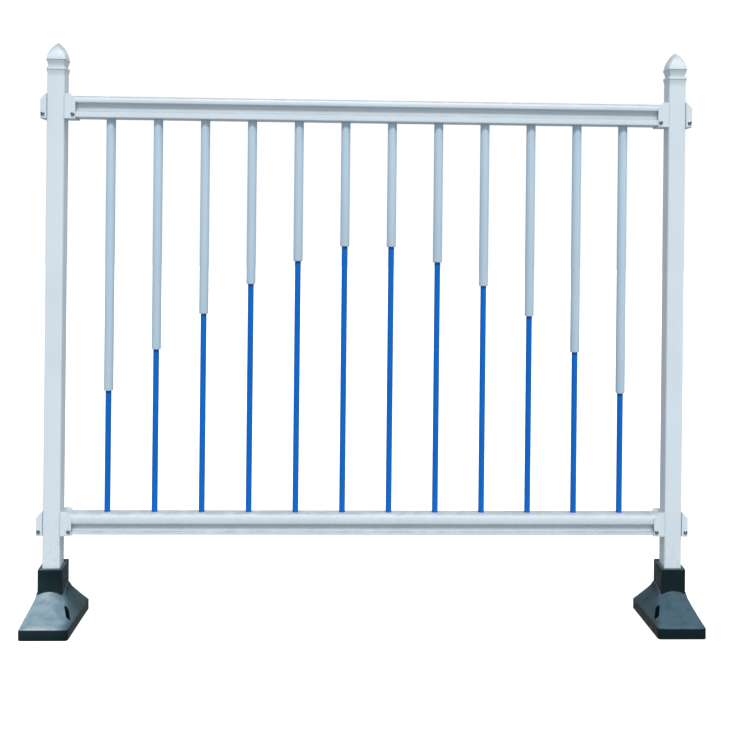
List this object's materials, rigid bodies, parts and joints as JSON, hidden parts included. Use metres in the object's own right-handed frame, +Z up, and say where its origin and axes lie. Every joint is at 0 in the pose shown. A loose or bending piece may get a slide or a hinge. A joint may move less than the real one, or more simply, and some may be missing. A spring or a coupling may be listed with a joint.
{
  "type": "crowd control barrier",
  "caption": "Free-standing barrier panel: square posts on cast feet, two rails and two-tone round balusters in an arch, with sockets for the next panel.",
  "frame": {"origin": "on the ground, in the middle of the barrier's footprint", "axes": "+Z up; +X along the barrier towards the right post; -Y towards the feet's long toes; the posts' plane is at y = 0.0075"},
  "size_m": [1.386, 0.215, 1.1979],
  "materials": {
    "white_paint": "semi-gloss white powder coat on steel tube",
    "blue_paint": "semi-gloss blue powder coat on steel tube",
    "cast_iron": "black painted casting with a fine sand texture",
    "zinc_steel": "dull zinc-plated fasteners"
  },
  "bodies": {
    "frame": {"left_post": "white_paint", "left_post_cap": "white_paint", "right_post": "white_paint", "right_post_cap": "white_paint", "top_rail": "white_paint", "bottom_rail": "white_paint", "baluster_sleeve_01": "white_paint", "baluster_sleeve_02": "white_paint", "baluster_sleeve_03": "white_paint", "baluster_sleeve_04": "white_paint", "baluster_sleeve_05": "white_paint", "baluster_sleeve_06": "white_paint", "baluster_sleeve_07": "white_paint", "baluster_sleeve_08": "white_paint", "baluster_sleeve_09": "white_paint", "baluster_sleeve_10": "white_paint", "baluster_sleeve_11": "white_paint", "baluster_sleeve_12": "white_paint", "baluster_rod_01": "blue_paint", "baluster_rod_02": "blue_paint", "baluster_rod_03": "blue_paint", "baluster_rod_04": "blue_paint", "baluster_rod_05": "blue_paint", "baluster_rod_06": "blue_paint", "baluster_rod_07": "blue_paint", "baluster_rod_08": "blue_paint", "baluster_rod_09": "blue_paint", "baluster_rod_10": "blue_paint", "baluster_rod_11": "blue_paint", "baluster_rod_12": "blue_paint", "left_top_inner_bracket": "white_paint", "left_top_inner_screw": "zinc_steel", "left_top_outer_bracket": "white_paint", "left_top_outer_screw": "zinc_steel", "left_top_post_bolt": "zinc_steel", "left_top_post_nut": "zinc_steel", "left_bottom_inner_bracket": "white_paint", "left_bottom_inner_screw": "zinc_steel", "left_bottom_outer_bracket": "white_paint", "left_bottom_outer_screw": "zinc_steel", "left_bottom_post_bolt": "zinc_steel", "left_bottom_post_nut": "zinc_steel", "right_top_inner_bracket": "white_paint", "right_top_inner_screw": "zinc_steel", "right_top_outer_bracket": "white_paint", "right_top_outer_screw": "zinc_steel", "right_top_post_bolt": "zinc_steel", "right_top_post_nut": "zinc_steel", "right_bottom_inner_bracket": "white_paint", "right_bottom_inner_screw": "zinc_steel", "right_bottom_outer_bracket": "white_paint", "right_bottom_outer_screw": "zinc_steel", "right_bottom_post_bolt": "zinc_steel", "right_bottom_post_nut": "zinc_steel"},
    "left_foot": {"left_foot": "cast_iron", "left_foot_set_screw": "zinc_steel"},
    "right_foot": {"right_foot": "cast_iron", "right_foot_set_screw": "zinc_steel"}
  },
  "joints": [
    {"name": "left_foot_slide", "type": "slide", "parent": "frame", "child": "left_foot", "axis": [0, 0, -1], "range_m": [0, 0.12]},
    {"name": "right_foot_slide", "type": "slide", "parent": "frame", "child": "right_foot", "axis": [0, 0, -1], "range_m": [0, 0.12]}
  ]
}
